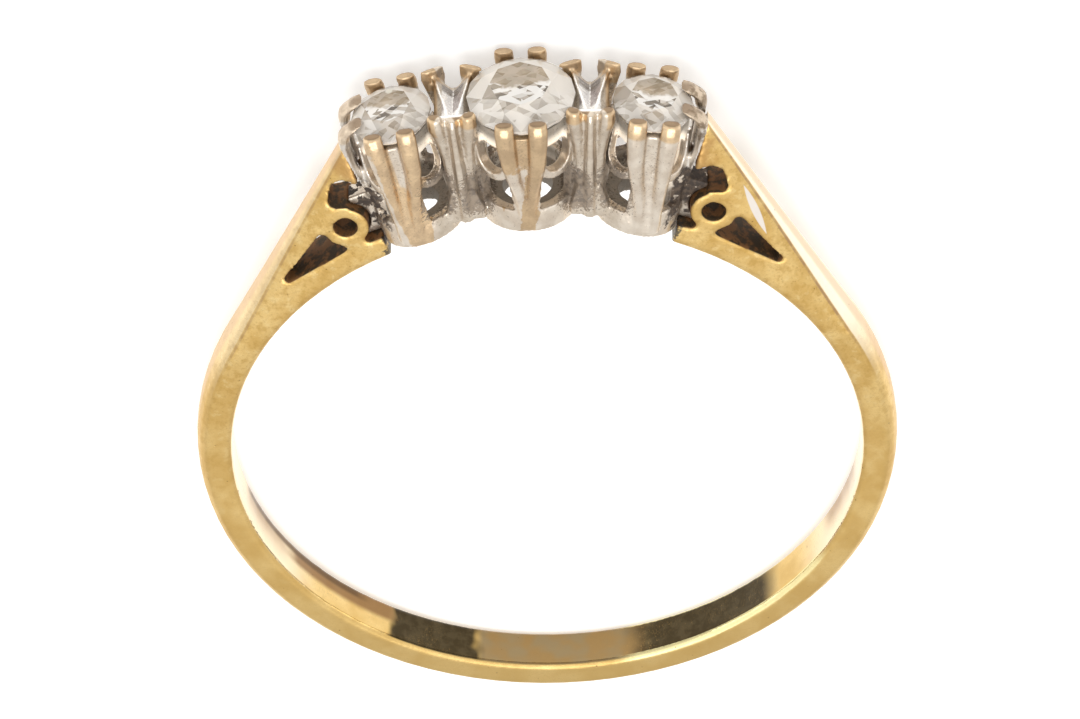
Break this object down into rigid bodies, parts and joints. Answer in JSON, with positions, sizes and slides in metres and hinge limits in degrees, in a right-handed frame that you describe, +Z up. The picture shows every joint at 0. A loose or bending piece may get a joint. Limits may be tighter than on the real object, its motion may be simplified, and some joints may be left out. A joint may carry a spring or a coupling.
{
  "type": "three stone ring",
  "caption": "Finger ring with pierced shoulders, a row of round brilliant stones in tall claw collets and a plain half-round band, lying on its side.",
  "frame": {"origin": "centre of the box round the resting ring, on the surface it lies on", "axes": "+Z up from the surface, along the finger hole within 3 degrees; -Y from the finger hole to the stones; +X across the ring, towards the shoulder on the left when the stones point away from the viewer's top edge"},
  "size_m": [0.0186, 0.0223, 0.0033],
  "materials": {
    "yellow_gold": "worn satin sides, polished inside",
    "white_gold": "worn plating with tan patches",
    "diamond": "faceted, clear"
  },
  "bodies": {
    "root": {"shank": "yellow_gold", "setting": "white_gold", "centre_stone": "diamond", "left_stone": "diamond", "right_stone": "diamond"}
  },
  "joints": []
}
